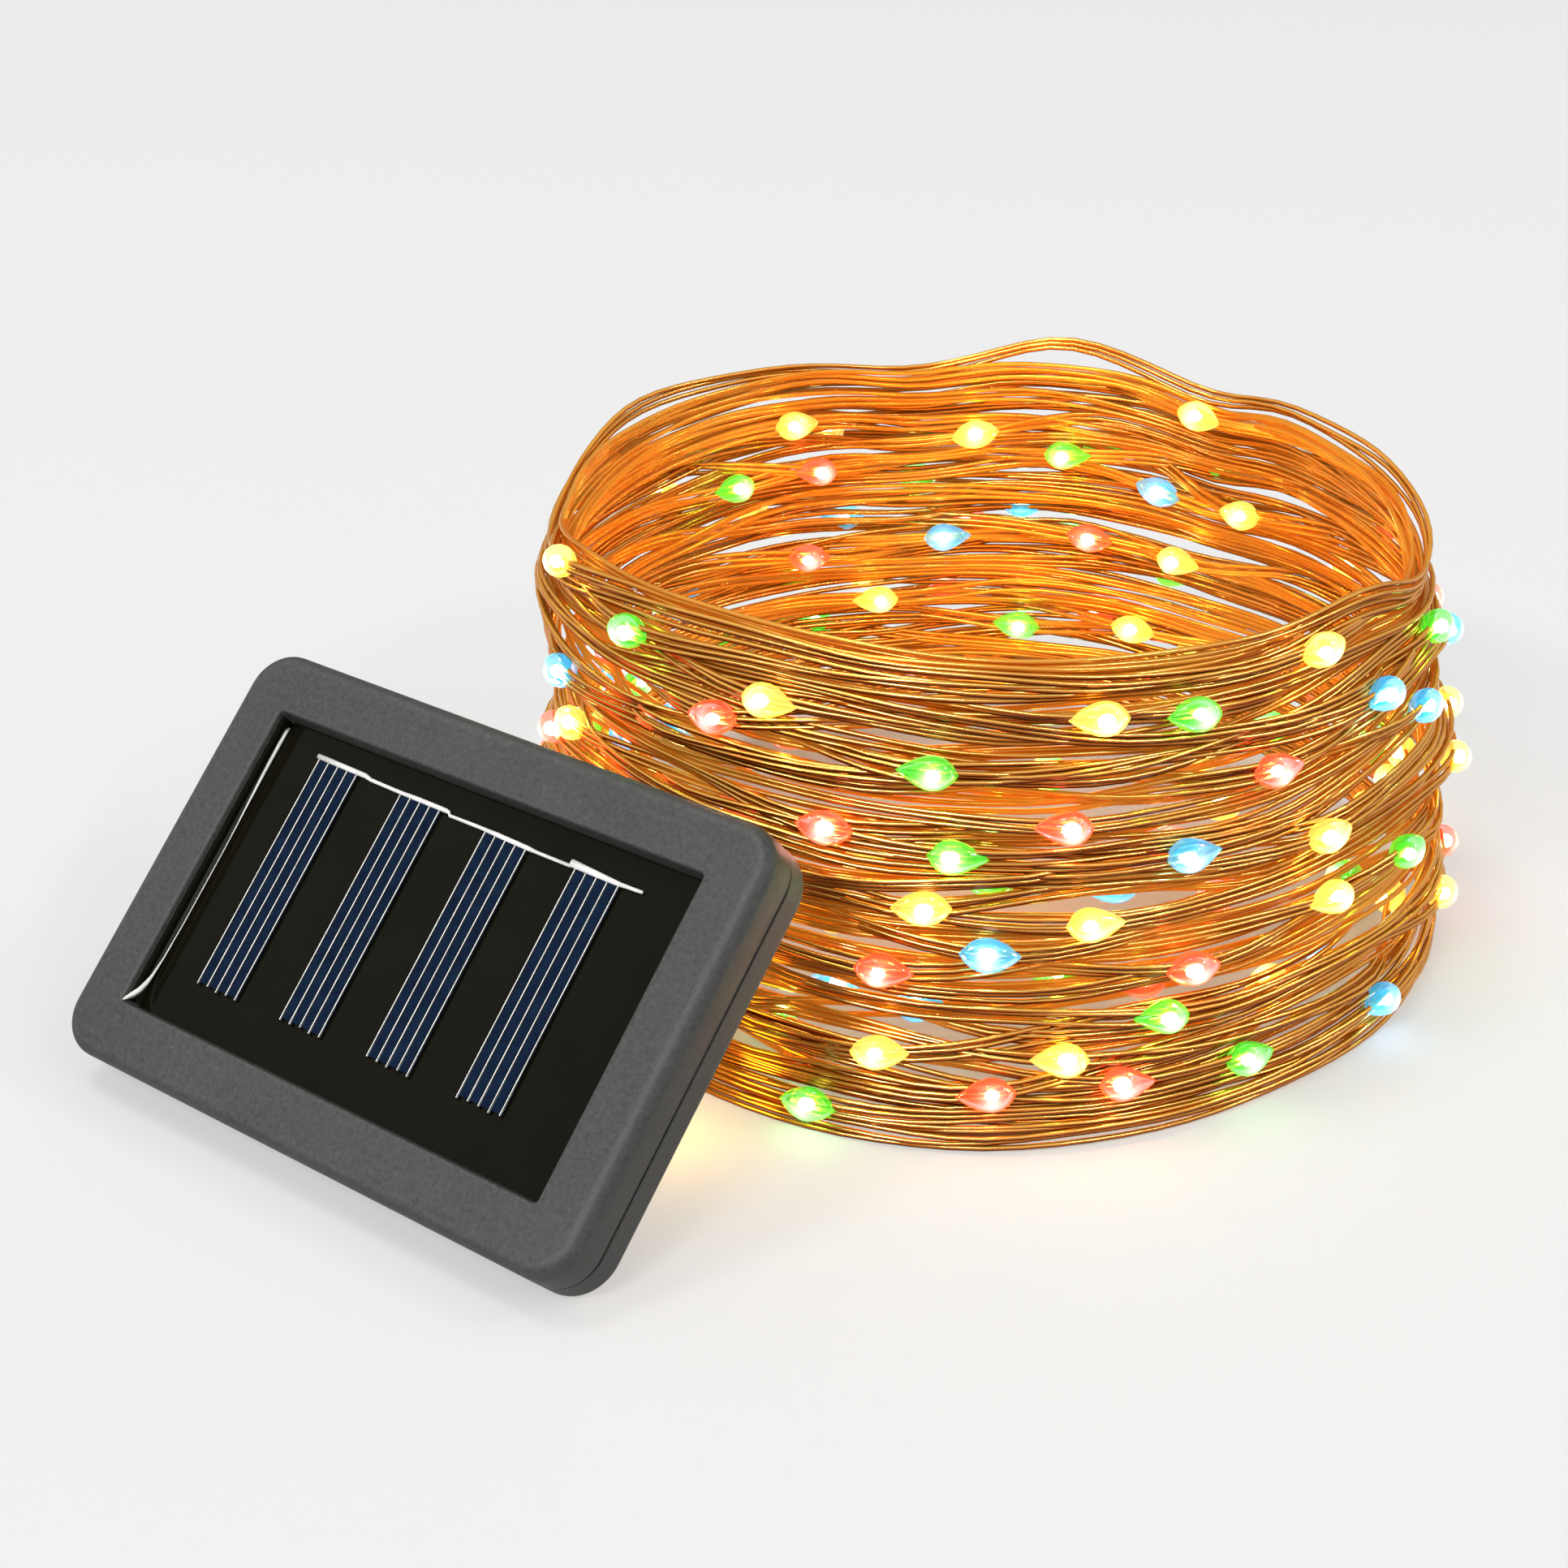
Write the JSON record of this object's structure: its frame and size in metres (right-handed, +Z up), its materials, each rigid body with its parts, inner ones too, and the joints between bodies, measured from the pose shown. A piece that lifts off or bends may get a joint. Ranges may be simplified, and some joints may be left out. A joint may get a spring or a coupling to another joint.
{
  "type": "solar string lights",
  "caption": "Solar string lights: tilted panel housing with rear swivel socket, and a long copper-wire LED string wound into a round coil.",
  "frame": {"origin": "bottom centre of the solar unit's bounding box, on the floor, without the light string", "axes": "+X along the housing's long edge, +Z up, -Y is the side that the tilted solar face looks to"},
  "size_m": [0.1448, 0.1921, 0.0655],
  "materials": {
    "shell_plastic": "charcoal-grey ABS with a fine matte texture",
    "panel_resin": "near-black laminate under a clear epoxy layer",
    "solar_cell": "navy-blue silicon with fine silver lines",
    "tinned_metal": "bright tinned metal",
    "screw_steel": "plain zinc-plated steel",
    "black_rubber": "soft black rubber",
    "green_board": "green solder mask",
    "black_resin": "black moulded resin",
    "green_sleeve": "green shrink sleeve",
    "red_wire": "red insulation",
    "black_wire": "black insulation",
    "copper_wire": "clear-enamelled copper wire, warm orange-brown",
    "led_resin": "clear resin drops lit from inside in yellow, red, green and blue"
  },
  "bodies": {
    "housing": {"front_cover": "shell_plastic", "rear_cover": "shell_plastic", "battery_door": "shell_plastic", "solar_laminate": "panel_resin", "solar_cell_strip_1": "solar_cell", "solar_cell_strip_2": "solar_cell", "solar_cell_strip_3": "solar_cell", "solar_cell_strip_4": "solar_cell", "bus_ribbon": "tinned_metal", "positive_contact": "tinned_metal", "battery_spring": "tinned_metal", "negative_contact": "tinned_metal", "cover_screw_1": "screw_steel", "cover_screw_2": "screw_steel", "cover_screw_3": "screw_steel", "cover_screw_4": "screw_steel", "battery_door_screw": "screw_steel", "pivot_bolt": "screw_steel", "pivot_nut": "screw_steel", "power_switch": "screw_steel", "mode_switch": "screw_steel", "cover_seal": "black_rubber", "laminate_sealant": "black_rubber", "door_seal": "black_rubber", "string_gland": "black_rubber", "circuit_board": "green_board", "controller_chip": "black_resin", "boost_inductor": "black_resin", "battery_cell": "green_sleeve", "buffer_capacitor": "green_sleeve", "panel_wire_red": "red_wire", "battery_wire_red": "red_wire", "panel_wire_black": "black_wire", "battery_wire_black": "black_wire", "string_lead": "copper_wire", "light_coil": "copper_wire", "led_bead_01": "led_resin", "led_bead_02": "led_resin", "led_bead_03": "led_resin", "led_bead_04": "led_resin", "led_bead_05": "led_resin", "led_bead_06": "led_resin", "led_bead_07": "led_resin", "led_bead_08": "led_resin", "led_bead_09": "led_resin", "led_bead_10": "led_resin", "led_bead_11": "led_resin", "led_bead_12": "led_resin", "led_bead_13": "led_resin", "led_bead_14": "led_resin", "led_bead_15": "led_resin", "led_bead_16": "led_resin"},
    "swivel": {"swivel_socket": "shell_plastic"},
    "power_key": {"power_button": "black_rubber"},
    "mode_key": {"mode_button": "black_rubber"}
  },
  "joints": [
    {"name": "swivel_pivot", "type": "hinge", "parent": "housing", "child": "swivel", "pos_m": [0, 0.00598, 0.01375], "axis": [1, 0, 0], "range_deg": [-45, 44]},
    {"name": "power_press", "type": "slide", "parent": "housing", "child": "power_key", "axis": [0, -0.6984, 0.7157], "range_m": [0, 0.0005], "stiffness_N_per_m": 1500},
    {"name": "mode_press", "type": "slide", "parent": "housing", "child": "mode_key", "axis": [0, -0.6984, 0.7157], "range_m": [0, 0.0005], "stiffness_N_per_m": 1500}
  ]
}
